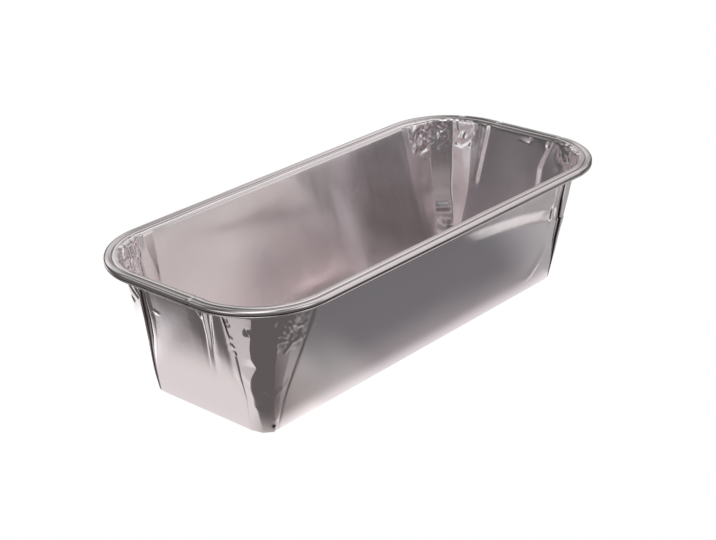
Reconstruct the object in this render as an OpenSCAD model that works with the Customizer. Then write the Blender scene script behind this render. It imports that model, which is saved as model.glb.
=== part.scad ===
// Foil loaf pan: one sheet of thin aluminium foil, pressed into an open, tapered tray.
// The walls lean outwards, the spare foil at the four corners is gathered into folds,
// and the edge turns out into a flat flange that ends in a curled bead.
// X runs along the pan, Y across it, Z up. The origin is the middle of the underside.

/* [Rim] */
// Length over the curled bead
rim_length = 230; // [212:1:280]
// Width over the curled bead
rim_width = 105; // [88:1:130]
// Radius of the rim's outer edge at the corners
rim_corner_radius = 34; // [20:0.5:40]
// How far the rim reaches out from the top of the wall
rim_reach = 6.6; // [5.5:0.1:9]
// Radius of the bend from the wall into the flange
rim_bend_radius = 1.5; // [0.6:0.1:2]
// Diameter of the curled bead
bead_diameter = 2.7; // [1.8:0.1:3.2]
// How far the bead stands above the flange
bead_step = 0.7; // [0.2:0.1:0.8]

/* [Body] */
// Height from the underside to the top of the bead
pan_height = 60; // [40:1:80]
// Length of the bottom
bottom_length = 191; // [160:1:205]
// Width of the bottom
bottom_width = 64; // [48:1:78]
// Radius of the bottom's corners, seen from above
bottom_corner_radius = 8; // [5:0.5:16]
// Radius of the bend from the bottom into the walls
bottom_bend_radius = 1.5; // [0.8:0.1:4]
// Thickness of the foil
foil_thickness = 0.1; // [0.05:0.01:0.2]

/* [Corner folds] */
// Depth of the deepest gather in a corner
fold_depth = 1.4; // [0:0.1:1.8]
// Depth of the small crumples in the upper part of a corner
crumple_depth = 0.6; // [0:0.05:0.8]
// Share of the wall's height, from the bottom, at which the crumples start
crumple_start = 0.5; // [0.3:0.05:0.7]
// Distance along a straight wall that counts as one unit past the end of a corner
fold_spread = 40; // [20:1:50]

/* [Hidden] */

// Each gather runs up a corner as a line: its place at the top, its place at the bottom,
// and its depth as a share of fold_depth. Places go counterclockwise from 0 at the start of
// the corner's arc to 1 at its end, and past those onto the straight walls. A gather with a
// positive depth is a ridge outwards, and one with a negative depth is a valley.
back_right_folds = [
    [-0.06, -0.04, 0.5], [0, 0.03, -0.45], [0.09, 0.1, 0.15], [0.2, 0.2, 0.6], [0.37, 0.36, -0.6],
    [0.5, 0.52, -0.1], [0.65, 0.7, 0.6], [0.82, 0.85, -0.1], [1, 1, -0.5], [1.06, 1.06, 0.2]
];
back_left_folds = [
    [-0.06, -0.05, 0.2], [0.03, 0.03, -0.4], [0.12, 0.12, 0.4], [0.28, 0.26, -0.3],
    [0.45, 0.42, 0.6], [0.6, 0.57, -0.5], [0.7, 0.66, 0.4], [0.79, 0.74, -0.4],
    [0.88, 0.81, 0.7], [0.97, 0.87, -0.9], [1.06, 0.95, 0.6], [1.15, 1.08, -0.1]
];
front_left_folds = [
    [-0.12, -0.42, 0.45], [-0.06, -0.36, -0.2], [0, -0.3, 0.5], [0.08, -0.14, -0.3],
    [0.16, 0, -0.7], [0.23, 0.13, 0.25], [0.33, 0.27, 0], [0.43, 0.42, 1], [0.54, 0.57, -0.1],
    [0.66, 0.74, 0.3], [0.8, 0.84, -0.5], [0.91, 0.92, 0.4], [1, 0.98, -0.6], [1.06, 1.06, 0.25]
];
front_right_folds = [
    [-0.12, -0.1, 0.2], [-0.05, 0.02, 0.5], [0.02, 0.11, -0.8], [0.11, 0.2, 0.4],
    [0.26, 0.31, -0.3], [0.42, 0.45, 0.7], [0.55, 0.57, -0.5], [0.67, 0.68, 0.4],
    [0.79, 0.79, -0.6], [0.9, 0.9, 0.3], [1, 1, -0.3], [1.12, 1.3, 0.3]
];
corner_folds = [back_right_folds, back_left_folds, front_left_folds, front_right_folds];
corner_signs = [[1, 1], [-1, 1], [-1, -1], [1, -1]];

bead_radius = bead_diameter / 2;
flange_height = pan_height - bead_step;
wall_run = ((rim_length - bottom_length) / 2 + (rim_width - bottom_width) / 2) / 2 - rim_reach;
draft = atan(wall_run / (flange_height - rim_bend_radius));

// Half length, half width and corner radius of the sheet's upper side at the bottom and top of the wall
bottom_outline = [bottom_length / 2, bottom_width / 2, bottom_corner_radius] - foil_thickness * [1, 1, 1];
top_outline = [rim_length / 2, rim_width / 2, rim_corner_radius] - rim_reach * [1, 1, 1];

// The wall's levels as shares of its height, closer together where the crumples are
wall_levels = [0.14, 0.3, 0.44, 0.56, 0.67, 0.77, 0.86, 0.94];
bend_steps = 2;

// The turns round the bead's middle, from where the flange meets it, over the top at 90
// degrees and down its outer side, to where the curl ends below the flange
bead_start = 180 - asin((bead_radius - bead_step) / bead_radius);
bead_end = -165;
bead_turns = [bead_start, between(bead_start, 90), each [90:-45:-135], bead_end];
crease_turn = between(bead_start, 90);
crumple_seed = 11;

// The section, from the flat bottom out to the end of the curl. Each ring holds the wall
// share it belongs to, its offset from the outline there, its height, and the direction in
// which the foil's thickness lies, as outwards and upwards parts.
bottom_rings = [
    for (i = [0:bend_steps])
        let (turn = (90 - draft) * i / bend_steps)
        [
            0,
            bottom_bend_radius * (sin(turn) - 1),
            foil_thickness + bottom_bend_radius * (1 - cos(turn)),
            [sin(turn), -cos(turn)]
        ]
];
bend_rings = [
    for (i = [0:bend_steps])
        let (turn = draft + (90 - draft) * i / bend_steps)
        [
            1,
            rim_bend_radius * (1 - cos(turn)),
            flange_height - rim_bend_radius * (1 - sin(turn)),
            [cos(turn), -sin(turn)]
        ]
];
wall_foot = bottom_rings[bend_steps];
wall_head = bend_rings[0];
wall_rings = [
    for (share = wall_levels)
        [
            share,
            wall_foot[1] + (wall_head[1] - wall_foot[1]) * share,
            wall_foot[2] + (wall_head[2] - wall_foot[2]) * share,
            [cos(draft), -sin(draft)]
        ]
];
bead_rings = [
    for (turn = bead_turns)
        let (lie = turn == bead_start ? crease_turn : turn)
        [
            1,
            rim_reach - bead_radius + bead_radius * cos(turn),
            pan_height - bead_radius + bead_radius * sin(turn),
            [-cos(lie), -sin(lie)]
        ]
];
rings = concat(bottom_rings, wall_rings, bend_rings, bead_rings);
first_rim_ring = len(bottom_rings) + len(wall_rings) + 1;

// The lines that run up the sheet, in order round it: the corner, the place at the top, the
// place at the bottom, and the depth of the gather there. A line between two neighbours
// halves each facet, and one more stands halfway along each straight wall.
function between(a, b) = (a + b) / 2;
function lines_of(corner) =
    let (folds = corner_folds[corner])
    [
        for (i = [0:len(folds) - 1])
            each i == 0
                ? [concat([corner], folds[i])]
                : [concat([corner], between(folds[i - 1], folds[i])), concat([corner], folds[i])]
    ];
lines = [for (corner = [0:3]) each concat(lines_of(corner), [[corner, undef, undef, 0]])];
line_count = len(lines);
ring_count = len(rings);

// A point on a rounded rectangle, and the outward direction there
function heading(corner, place) = 90 * (corner + (place == undef ? 1 : min(1, max(0, place))));
function arc_point(outline, offset, corner, place) =
    let (
        side = corner_signs[corner],
        turn = heading(corner, place),
        radius = outline[2] + offset,
        past = place < 0 ? place : max(0, place - 1)
    )
    [side[0] * (outline[0] - outline[2]), side[1] * (outline[1] - outline[2])]
        + radius * [cos(turn), sin(turn)]
        + past * fold_spread * [-sin(turn), cos(turn)];
function outline_point(outline, offset, corner, place) =
    place == undef
        ? between(
            arc_point(outline, offset, corner, 1),
            arc_point(outline, offset, (corner + 1) % 4, 0)
        )
        : arc_point(outline, offset, corner, place);

// How much of a gather, and of the crumples, shows at a share of the wall's height
function smooth(x) = let (t = min(1, max(0, x))) t * t * (3 - 2 * t);
function fold_share(share) = smooth(share / 0.7) * (1 - 0.6 * smooth((share - 0.75) / 0.25));
function crumple_share(share) = smooth((share - crumple_start) / 0.25) * (1 - smooth((share - 0.8) / 0.25));
crumples = rands(-1, 1, ring_count * line_count, crumple_seed);
function gather(ring, i, share) =
    let (
        line = lines[i],
        in_corner = line[1] != undef && line[1] > 0 && line[1] < 1
    )
    fold_depth * line[3] * fold_share(share)
        + (in_corner ? crumple_depth * crumples[ring * line_count + i] * crumple_share(share) : 0);

// A point of the sheet: side 0 is its upper and inner side, side 1 its under and outer side
function sheet_point(ring, i, side) =
    let (
        share = rings[ring][0],
        normal = rings[ring][3],
        offset = rings[ring][1] + side * foil_thickness * normal[0],
        line = lines[i],
        foot = outline_point(bottom_outline, offset, line[0], line[2]),
        head = outline_point(top_outline, offset, line[0], line[1]),
        turn = (1 - share) * heading(line[0], line[2]) + share * heading(line[0], line[1]),
        depth = ring > first_rim_ring ? 0 : gather(ring, i, share),
        plan = foot + (head - foot) * share + depth * [cos(turn), sin(turn)]
    )
    [plan[0], plan[1], rings[ring][2] + side * foil_thickness * normal[1]];

module loaf_pan() {
    side_count = ring_count * line_count;
    points = concat(
        [for (side = [0, 1], ring = [0:ring_count - 1], i = [0:line_count - 1]) sheet_point(ring, i, side)],
        [[0, 0, foil_thickness], [0, 0, 0]]
    );
    strips = [
        for (ring = [0:ring_count - 2], i = [0:line_count - 1])
            let (
                next = (i + 1) % line_count,
                a = ring * line_count + i,
                b = ring * line_count + next,
                c = b + line_count,
                d = a + line_count
            )
            each [
                [a, b, c],
                [a, c, d],
                [side_count + a, side_count + c, side_count + b],
                [side_count + a, side_count + d, side_count + c]
            ]
    ];
    ends = [
        for (i = [0:line_count - 1])
            let (
                next = (i + 1) % line_count,
                last = (ring_count - 1) * line_count
            )
            each [
                [2 * side_count, next, i],
                [2 * side_count + 1, side_count + i, side_count + next],
                [last + i, last + next, side_count + last + next],
                [last + i, side_count + last + next, side_count + last + i]
            ]
    ];
    color([0.77, 0.75, 0.76])
        polyhedron(points = points, faces = concat(strips, ends), convexity = 8);
}

loaf_pan();
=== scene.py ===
"""A foil loaf pan: one sheet of thin aluminium foil, pressed into a tapered tray with gathered corners,
a flat flange and a curled bead. It stands on a plain pale floor in soft studio light."""
import math
from collections import namedtuple

import bmesh
import bpy
import numpy as np
from bpy.props import FloatProperty, FloatVectorProperty, PointerProperty
from mathutils import Matrix, Vector


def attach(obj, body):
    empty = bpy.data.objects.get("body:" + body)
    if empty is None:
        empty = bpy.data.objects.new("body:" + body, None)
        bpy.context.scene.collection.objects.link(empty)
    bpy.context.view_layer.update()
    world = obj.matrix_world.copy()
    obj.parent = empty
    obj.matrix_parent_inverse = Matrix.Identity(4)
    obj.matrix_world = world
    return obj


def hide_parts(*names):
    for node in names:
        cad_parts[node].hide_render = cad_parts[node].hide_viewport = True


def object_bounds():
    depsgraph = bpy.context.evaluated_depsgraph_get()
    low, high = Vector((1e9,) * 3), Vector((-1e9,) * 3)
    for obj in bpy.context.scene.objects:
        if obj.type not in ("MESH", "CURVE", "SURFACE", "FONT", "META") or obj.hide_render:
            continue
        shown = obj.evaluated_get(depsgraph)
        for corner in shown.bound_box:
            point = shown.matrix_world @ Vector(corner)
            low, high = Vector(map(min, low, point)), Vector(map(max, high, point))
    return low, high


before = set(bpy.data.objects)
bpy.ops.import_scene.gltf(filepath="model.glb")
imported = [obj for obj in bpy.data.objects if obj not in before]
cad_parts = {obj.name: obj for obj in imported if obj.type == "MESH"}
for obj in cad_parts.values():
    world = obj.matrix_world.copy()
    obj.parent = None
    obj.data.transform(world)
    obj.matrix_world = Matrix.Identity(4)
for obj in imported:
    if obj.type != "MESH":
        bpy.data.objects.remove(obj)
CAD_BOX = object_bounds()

bl_info = {
    "name": "Foil Loaf Pan",
    "version": (1, 0, 0),
    "blender": (4, 5, 0),
    "location": "View3D > Sidebar > Loaf Pan",
    "description": "Builds a pressed foil loaf pan and its studio stage",
    "category": "Add Mesh",
}

MM = 0.001
PAN_LENGTH = CAD_BOX[1].x - CAD_BOX[0].x
PAN_WIDTH = CAD_BOX[1].y - CAD_BOX[0].y
PAN_HEIGHT = CAD_BOX[1].z - CAD_BOX[0].z

# The gathers of each corner, as lines that run up the wall. A line has two or more knots, each with its
# share of the wall's height, its place round the corner and its depth. Places go counterclockwise from 0
# at the start of the corner's arc to 1 at its end, and past those onto the straight walls in units of
# fold_spread. Depths are shares of fold_depth: positive is a ridge outwards and negative a valley.
BACK_RIGHT_FOLDS = (
    ((0, -0.22, 0), (1, -0.2, 0)),
    ((0, -0.1, 0), (0.5, -0.09, 0), (0.57, -0.085, 0.2), (0.97, -0.075, 0.3), (1, -0.07, 0.3)),
    ((0, -0.06, 0), (0.5, -0.05, 0), (0.57, -0.04, -0.2), (0.97, -0.035, -0.3), (1, -0.03, -0.2)),
    ((0, 0.05, 0), (0.72, 0.01, 0), (1, 0.04, 0)),
    ((0, 0.06, 0), (0.46, 0.06, 0.05), (0.78, 0.14, 0.1), (1, 0.16, 0.1)),
    ((0, 0.11, 0), (0.41, 0.14, -0.1), (0.79, 0.24, -0.15), (1, 0.27, -0.1)),
    ((0, 0.26, 0.1), (0.17, 0.27, 0.15), (0.32, 0.34, 0.3), (0.44, 0.38, 0.5), (0.69, 0.38, 0.6),
        (1, 0.39, 0.3)),
    ((0, 0.84, 0.1), (0.11, 0.8, 0.15), (0.28, 0.71, 0.3), (0.45, 0.69, 0.5), (0.7, 0.68, 0.6),
        (1, 0.61, 0.3)),
    ((0, 1.04, 0), (0.23, 1.02, -0.1), (0.5, 1, -0.25), (0.74, 0.97, -0.35), (1, 0.92, -0.2)),
    ((0, 1.12, 0), (0.5, 1.1, 0), (1, 1.03, 0.1)),
    ((0, 1.3, 0), (1, 1.25, 0)),
)
BACK_LEFT_FOLDS = (
    ((0, -0.3, 0), (1, -0.3, 0)),
    ((0, -0.14, 0), (0.6, -0.13, 0), (0.8, -0.12, 0.06), (1, -0.12, 0.1)),
    ((0, -0.09, 0), (0.55, -0.1, 0), (0.74, -0.09, -0.15), (0.9, 0, -0.25), (1, 0.025, -0.2)),
    ((0, 0.1, 0), (0.6, 0.1, 0.15), (0.8, 0.11, 0.25), (1, 0.07, 0.2)),
    ((0, 0.26, 0), (0.6, 0.27, -0.3), (1, 0.25, -0.2)),
    ((0, 0.42, 0.15), (0.6, 0.43, 0.35), (1, 0.4, 0.25)),
    ((0, 0.53, 0), (0.6, 0.6, -0.25), (1, 0.58, -0.2)),
    ((0, 0.6, 0.1), (0.6, 0.73, 0.3), (1, 0.72, 0.3)),
    ((0, 0.66, 0.05), (0.6, 0.84, 0.1), (1, 0.86, 0)),
    ((0, 0.735, 0.2), (0.08, 0.755, 0.25), (0.27, 0.845, 0.4), (0.45, 0.92, 0.5), (0.62, 0.95, 0.5),
        (0.8, 0.965, 0.45), (1, 0.985, 0.3)),
    ((0, 0.765, 0), (0.08, 0.785, -0.1), (0.27, 0.875, -0.4), (0.45, 0.95, -0.6), (0.62, 0.98, -0.6),
        (0.8, 0.993, -0.5), (1, 1.01, -0.3)),
    ((0, 0.85, 0.05), (0.27, 0.96, 0.1), (0.5, 1.05, 0.2), (0.66, 1.075, 0.3), (0.8, 1.06, 0.3),
        (1, 1.06, 0.2)),
    ((0, 0.9, 0), (0.27, 1, 0), (0.5, 1.075, 0.05), (0.66, 1.1, -0.1), (0.8, 1.085, -0.15),
        (1, 1.08, -0.15)),
    ((0, 1.02, 0), (0.27, 1.1, 0), (0.66, 1.22, 0), (1, 1.2, 0)),
)
FRONT_LEFT_FOLDS = (
    ((0, -0.46, 0), (0.5, -0.33, 0), (1, -0.22, 0)),
    ((0, -0.42, 0), (0.4, -0.3, 0), (0.48, -0.275, -0.1), (0.71, -0.195, -0.3), (0.92, -0.155, -0.35),
        (1, -0.145, -0.3)),
    ((0, -0.4, 0), (0.4, -0.285, 0), (0.48, -0.255, 0.1), (0.71, -0.162, 0.25), (0.92, -0.118, 0.3),
        (1, -0.11, 0.25)),
    ((0, -0.35, 0), (0.4, -0.24, -0.05), (0.63, -0.16, -0.2), (0.76, -0.12, -0.3),
        (0.92, -0.06, -0.35), (1, -0.05, -0.3)),
    ((0, -0.32, 0), (0.36, -0.225, 0), (0.45, -0.205, -0.1), (0.56, -0.178, -0.2),
        (0.69, -0.12, -0.25), (0.82, -0.06, -0.2), (0.9, -0.02, -0.2), (1, -0.015, -0.1)),
    ((0, -0.28, 0), (0.36, -0.19, 0), (0.45, -0.165, 0.1), (0.56, -0.132, 0.3), (0.69, -0.07, 0.35),
        (0.82, -0.015, 0.3), (0.9, 0.02, 0.25), (1, 0.03, 0.2)),
    ((0, -0.04, 0), (0.16, -0.02, 0), (0.33, 0.02, 0.05), (0.51, 0.06, 0.15), (0.75, 0.09, 0.2),
        (1, 0.08, 0.1)),
    ((0, 0.03, 0), (0.05, 0.045, 0), (0.26, 0.15, 0.05), (0.42, 0.145, 0.1), (0.6, 0.155, 0.1),
        (0.78, 0.128, 0.1), (1, 0.105, 0.1)),
    ((0, 0.06, -0.1), (0.05, 0.075, -0.1), (0.26, 0.18, -0.1), (0.42, 0.172, -0.15),
        (0.6, 0.18, -0.15), (0.78, 0.152, -0.15), (1, 0.13, -0.1)),
    ((0, 0.42, 0.35), (0.05, 0.41, 0.4), (0.11, 0.38, 0.5), (0.18, 0.36, 0.5), (0.21, 0.31, 0.5),
        (0.28, 0.32, 0.55), (0.35, 0.29, 0.6), (0.43, 0.32, 0.65), (0.47, 0.36, 0.7),
        (0.53, 0.43, 0.75), (0.55, 0.41, 0.75), (0.6, 0.37, 0.75), (0.68, 0.37, 0.75),
        (0.76, 0.39, 0.75), (0.88, 0.42, 0.7), (1, 0.425, 0.55)),
    ((0, 0.76, 0.6), (0.09, 0.73, 0.55), (0.27, 0.66, 0.5), (0.53, 0.64, 0.55), (0.67, 0.66, 0.55),
        (1, 0.6, 0.4)),
    ((0, 0.84, 0.15), (0.27, 0.8, 0.1), (0.6, 0.84, 0), (1, 0.82, 0)),
    ((0, 0.9, -0.1), (0.22, 0.9, -0.15), (0.38, 0.95, -0.3), (0.47, 0.98, -0.35), (0.6, 1.02, -0.4),
        (0.78, 1.05, -0.4), (1, 1.07, -0.2)),
    ((0, 0.95, 0), (0.22, 0.95, 0.05), (0.38, 0.995, 0.1), (0.47, 1.02, 0.1), (0.6, 1.05, 0.1),
        (0.78, 1.085, 0.1), (1, 1.1, 0)),
    ((0, 1.2, 0), (1, 1.25, 0)),
)
FRONT_RIGHT_FOLDS = (
    ((0, -0.4, 0), (1, -0.35, 0)),
    ((0, -0.22, 0), (0.5, -0.22, 0), (0.6, -0.23, -0.1), (0.68, -0.19, -0.2), (0.74, -0.15, -0.1),
        (1, -0.14, 0)),
    ((0, -0.15, 0), (0.5, -0.17, 0), (0.6, -0.19, 0.15), (0.68, -0.155, 0.15), (0.74, -0.12, 0.1),
        (1, -0.11, 0)),
    ((0, 0.03, 0), (0.5, -0.09, 0), (0.62, -0.115, -0.15), (0.79, -0.05, -0.2), (1, -0.04, -0.1)),
    ((0, 0.1, 0), (0.5, -0.06, 0), (0.62, -0.08, 0.15), (0.79, -0.025, 0.15), (1, -0.02, 0.1)),
    ((0, 0.235, 0), (0.17, 0.145, -0.15), (0.37, 0.075, -0.5), (0.56, 0.025, -0.7), (0.75, 0, -0.55),
        (0.88, 0, -0.3), (1, 0.005, -0.2)),
    ((0, 0.265, 0.1), (0.17, 0.175, 0.2), (0.37, 0.11, 0.4), (0.56, 0.06, 0.45), (0.75, 0.03, 0.4),
        (0.88, 0.025, 0.3), (1, 0.03, 0.2)),
    ((0, 0.32, 0), (0.46, 0.16, 0), (0.62, 0.14, -0.1), (0.77, 0.11, -0.15), (1, 0.1, -0.1)),
    ((0, 0.38, 0.1), (0.46, 0.24, 0.2), (0.77, 0.2, 0.3), (1, 0.18, 0.2)),
    ((0, 0.5, 0), (0.5, 0.36, -0.2), (1, 0.3, -0.25)),
    ((0, 0.6, 0.15), (0.5, 0.5, 0.35), (1, 0.45, 0.35)),
    ((0, 0.7, 0), (0.5, 0.64, -0.3), (1, 0.6, -0.35)),
    ((0, 0.78, 0.1), (0.5, 0.76, 0.25), (1, 0.73, 0.3)),
    ((0, 0.88, 0), (0.5, 0.88, -0.2), (0.88, 0.86, -0.3), (1, 0.84, -0.2)),
    ((0, 1, 0), (0.6, 1.11, 0.15), (0.78, 1.09, 0.3), (0.88, 1.03, 0.3), (1, 0.94, 0.2)),
    ((0, 1.08, 0), (0.6, 1.16, -0.1), (0.78, 1.14, -0.2), (0.88, 1.08, -0.2), (1, 1, -0.1)),
    ((0, 1.3, 0), (1, 1.3, 0)),
)
CORNER_FOLDS = (BACK_RIGHT_FOLDS, BACK_LEFT_FOLDS, FRONT_LEFT_FOLDS, FRONT_RIGHT_FOLDS)
CORNER_SIGNS = ((1, 1), (-1, 1), (-1, -1), (1, -1))
BACK_RIGHT, BACK_LEFT, FRONT_LEFT, FRONT_RIGHT = range(4)

# The small creases of each corner: the height in millimetres, the width, or the widths to the left and
# to the right of the line, and the line's points as places round the corner and shares of the wall's
# height. A third number says how strong the line is at a point.
BACK_RIGHT_CREASES = (
    (-0.56, 0.9, ((0.93, 0.91), (0.88, 0.95), (0.83, 0.98))),
    (0.56, 0.9, ((0.77, 0.93), (0.73, 0.89), (0.67, 0.86))),
    (0.7, 1.2, ((0.81, 0.78), (0.72, 0.8), (0.63, 0.84))),
    (-0.42, 0.9, ((0.82, 0.77), (0.74, 0.71))),
    (0.49, 0.8, ((0.74, 0.97), (0.68, 0.93), (0.62, 0.96))),
    (0.49, 0.8, ((0.55, 0.96), (0.51, 0.93), (0.46, 0.96))),
    (0.42, 0.8, ((0.56, 0.88), (0.48, 0.87))),
    (0.49, 0.8, ((0.55, 0.79), (0.47, 0.82), (0.42, 0.87))),
    (0.63, 0.9, ((0.32, 0.82), (0.27, 0.85))),
    (0.49, 0.8, ((0.27, 0.81), (0.19, 0.85), (0.13, 0.89))),
    (0.49, 0.8, ((0.24, 0.88), (0.2, 0.93), (0.17, 0.97))),
    (0.49, 0.8, ((0.15, 0.82), (0.12, 0.85))),
    (0.42, 0.8, ((0.58, 0.98), (0.57, 0.86))),
    (-1.1, 2.4, 2.2, ((0.65, 0.3), (0.41, 0.3))),
    (0.7, 1.6, 4, ((0.6, 0.135), (0.55, 0.13), (0.47, 0.13))),
)
BACK_LEFT_CREASES = (
    (-0.7, 0.9, 0.7, ((0.61, 0.93), (0.74, 0.88), (0.83, 0.83), (0.92, 0.8))),
    (-0.63, 0.8, 0.7, ((0.6, 0.88), (0.68, 0.8), (0.79, 0.74))),
    (-0.56, 0.8, 0.7, ((0.86, 0.93), (0.9, 0.89), (0.96, 0.84))),
    (0.35, 0.8, ((1.11, 0.73), (1.17, 0.72))),
    (-0.28, 1, ((1, 0.08), (1.1, 0.07), (1.2, 0.03))),
    (-0.28, 1, ((1.1, 0.16), (1.16, 0.11), (1.21, 0.05))),
    (0.49, 0.8, ((0.3, 1), (0.31, 0.94), (0.37, 0.91))),
    (-0.49, 0.8, ((0.24, 0.97), (0.2, 0.92), (0.27, 0.88), (0.26, 0.82))),
    (0.42, 0.8, ((0.37, 1), (0.41, 0.95))),
    (-0.49, 0.8, ((0.12, 0.97), (0.11, 0.89), (0.17, 0.82))),
)
FRONT_LEFT_CREASES = (
    (-0.7, 0.9, ((0.35, 0.825), (0.34, 0.8))),
    (0.42, 0.8, ((0.37, 0.82), (0.385, 0.78))),
    (-0.35, 0.6, ((0.15, 0.89), (0.155, 0.87))),
    (-0.35, 0.6, ((0.165, 0.85), (0.165, 0.84))),
    (0.35, 0.6, ((0.155, 0.75), (0.17, 0.735))),
    (-0.35, 0.6, ((0.14, 0.71), (0.155, 0.7))),
    (0.35, 0.6, ((0.165, 0.685), (0.17, 0.67))),
    (-0.35, 0.6, ((0.15, 0.66), (0.14, 0.645))),
    (0.35, 0.6, ((0.17, 0.635), (0.175, 0.615))),
    (0.56, 0.9, ((0.48, 0.68), (0.52, 0.715), (0.545, 0.715), (0.55, 0.65))),
    (-0.42, 0.8, ((0.49, 0.735), (0.53, 0.755))),
    (0.42, 0.7, ((0.55, 0.77), (0.57, 0.8), (0.6, 0.82))),
    (0.49, 1, 0.7, ((0.5, 0.35), (0.55, 0.33), (0.62, 0.3))),
    (0.49, 0.9, ((0.64, 0.78), (0.72, 0.76), (0.83, 0.72))),
    (0.42, 0.9, ((0.66, 0.72), (0.74, 0.72), (0.84, 0.7))),
    (0.49, 0.8, 1, ((0.86, 0.69), (0.82, 0.67), (0.78, 0.63))),
    (0.49, 0.8, ((0.69, 0.82), (0.75, 0.78), (0.84, 0.73))),
    (0.42, 0.8, ((0.71, 0.89), (0.77, 0.83), (0.79, 0.78))),
    (0.56, 0.8, ((0.77, 0.88), (0.83, 0.83), (0.89, 0.8), (0.94, 0.8), (1, 0.815))),
    (0.42, 0.8, ((0.74, 0.85), (0.79, 0.82), (0.83, 0.78))),
    (0.49, 0.9, ((0.89, 0.69), (0.95, 0.69), (1.02, 0.7))),
    (0.35, 0.8, ((0.58, 0.77), (0.62, 0.71), (0.66, 0.65))),
    (0.49, 0.8, ((0.99, 0.7), (0.93, 0.735))),
    (0.35, 0.9, ((0.92, 0.38), (0.83, 0.33), (0.71, 0.3))),
    (0.17, 0.9, ((1.06, 0.96), (1.09, 0.86), (1.12, 0.76))),
    (0.42, 0.8, ((-0.2, 0.89), (-0.17, 0.83))),
    (0.7, 1, ((0.7, 0.02), (0.8, 0.03))),
    (-0.56, 0.8, ((0.72, 0.055), (0.8, 0.05))),
    (0.42, 0.7, ((0.74, 0.08), (0.79, 0.07))),
)
FRONT_RIGHT_CREASES = (
    (0.6, 1, ((1.26, 0.985), (1.28, 0.96))),
    (0.6, 1, ((1.02, 0.985), (1.03, 0.96))),
    (-0.49, 0.8, ((0.82, 0.97), (0.78, 0.9), (0.73, 0.87))),
    (0.42, 0.8, ((0.88, 0.96), (0.89, 0.88))),
    (0.42, 0.8, ((0.76, 0.98), (0.64, 0.92))),
    (-0.42, 0.8, ((0.54, 1), (0.61, 0.88))),
    (0.75, 15, 6, (
        (-0.12, 0.6, 1.8), (-0.3, 0.63, 1.6), (-0.7, 0.69, 1.2), (-1.1, 0.73), (-1.5, 0.76, 0.7),
        (-2, 0.79, 0),
    )),
    (0.42, 1.4, 4, ((-0.12, 0.34), (-0.17, 0.26), (-0.24, 0.19), (-0.34, 0.12))),
)
CREASES = (BACK_RIGHT_CREASES, BACK_LEFT_CREASES, FRONT_LEFT_CREASES, FRONT_RIGHT_CREASES)

# Painted shade along the gaps where the foil is folded tight against itself, dark as no light gets in: the
# corner, the width in millimetres, how dark the painted shade is, and its points, as those of a crease
PAINTED_FOLD_SHADE = (
    (BACK_LEFT, 0.5, 0.9, (
        (0.75, 0.0), (0.77, 0.08), (0.86, 0.27), (0.935, 0.45), (0.965, 0.62), (0.979, 0.8), (0.998, 1),
    )),
    (BACK_LEFT, 0.7, 0.9, ((0.61, 0.93), (0.74, 0.88), (0.83, 0.83), (0.92, 0.8))),
    (BACK_LEFT, 0.6, 0.8, ((0.6, 0.88), (0.68, 0.8), (0.79, 0.74))),
    (BACK_LEFT, 0.7, 0.8, ((0.84, 0.97), (0.88, 0.93), (0.93, 0.86))),
    (FRONT_RIGHT, 0.7, 1, (
        (0.25, 0.0), (0.16, 0.17), (0.0925, 0.37), (0.0425, 0.56), (0.015, 0.75), (0.0125, 0.88),
        (0.0175, 1),
    )),
    (FRONT_LEFT, 0.5, 0.9, ((0.148, 0.74), (0.133, 0.85), (0.118, 1))),
    (FRONT_LEFT, 0.55, 0.7, ((0.17, 0.685), (0.172, 0.67))),
    (FRONT_LEFT, 0.55, 0.7, ((0.18, 0.635), (0.183, 0.615))),
    (FRONT_LEFT, 1.1, 0.85, ((-0.16, 0.915), (0, 0.925), (0.15, 0.93), (0.4, 0.925))),
    (FRONT_LEFT, 0.4, 0.4, (
        (0.92, 0.05), (0.93, 0.22), (0.97, 0.38), (1.0, 0.47), (1.035, 0.6), (1.065, 0.78), (1.085, 1),
    )),
    (FRONT_LEFT, 0.6, 0.8, ((-0.19, 0.97), (-0.16, 0.86))),
    (FRONT_LEFT, 0.8, 0.9, ((0.7, 0.035), (0.8, 0.05))),
)

# Crumpled zones: the corner, first and last place, lowest and highest share of the height, and how high
# the crumples are in millimetres
CRUMPLED_ZONES = (
    (FRONT_LEFT, 0.6, 1.04, 0.62, 1, 0.5),
    (FRONT_LEFT, 0.4, 0.66, 0.62, 1, 0.12),
    (FRONT_LEFT, 0.12, 0.2, 0.6, 0.8, 0.15),
    (BACK_LEFT, 0.08, 0.55, 0.72, 1, 0.4),
    (BACK_LEFT, 0.55, 0.95, 0.8, 1, 0.2),
    (BACK_RIGHT, 0.38, 0.95, 0.76, 1, 0.42),
    (BACK_RIGHT, 0.06, 0.38, 0.8, 0.98, 0.35),
    (FRONT_RIGHT, 0.35, 0.9, 0.76, 1, 0.45),
    (FRONT_RIGHT, 0.05, 0.3, 0.7, 1, 0.12),
)

# Places where the rim is nicked: the corner, the place, the width and the depth in millimetres
RIM_NICKS = (
    (BACK_RIGHT, -0.12, 0.9, 0.35),
    (FRONT_RIGHT, 1.35, 0.9, 0.3),
    (FRONT_RIGHT, 0.95, 0.9, 0.3),
    (BACK_RIGHT, 0.3, 1.4, 0.25),
    (FRONT_LEFT, -0.1, 1, 0.25),
)


# How far the top of the bead stays below the solid's, in millimetres
BEAD_DROP = 0.3


def length(name, description, default):
    """A length that the panel shows."""
    return FloatProperty(name=name, description=description, default=default, unit="LENGTH")


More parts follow.
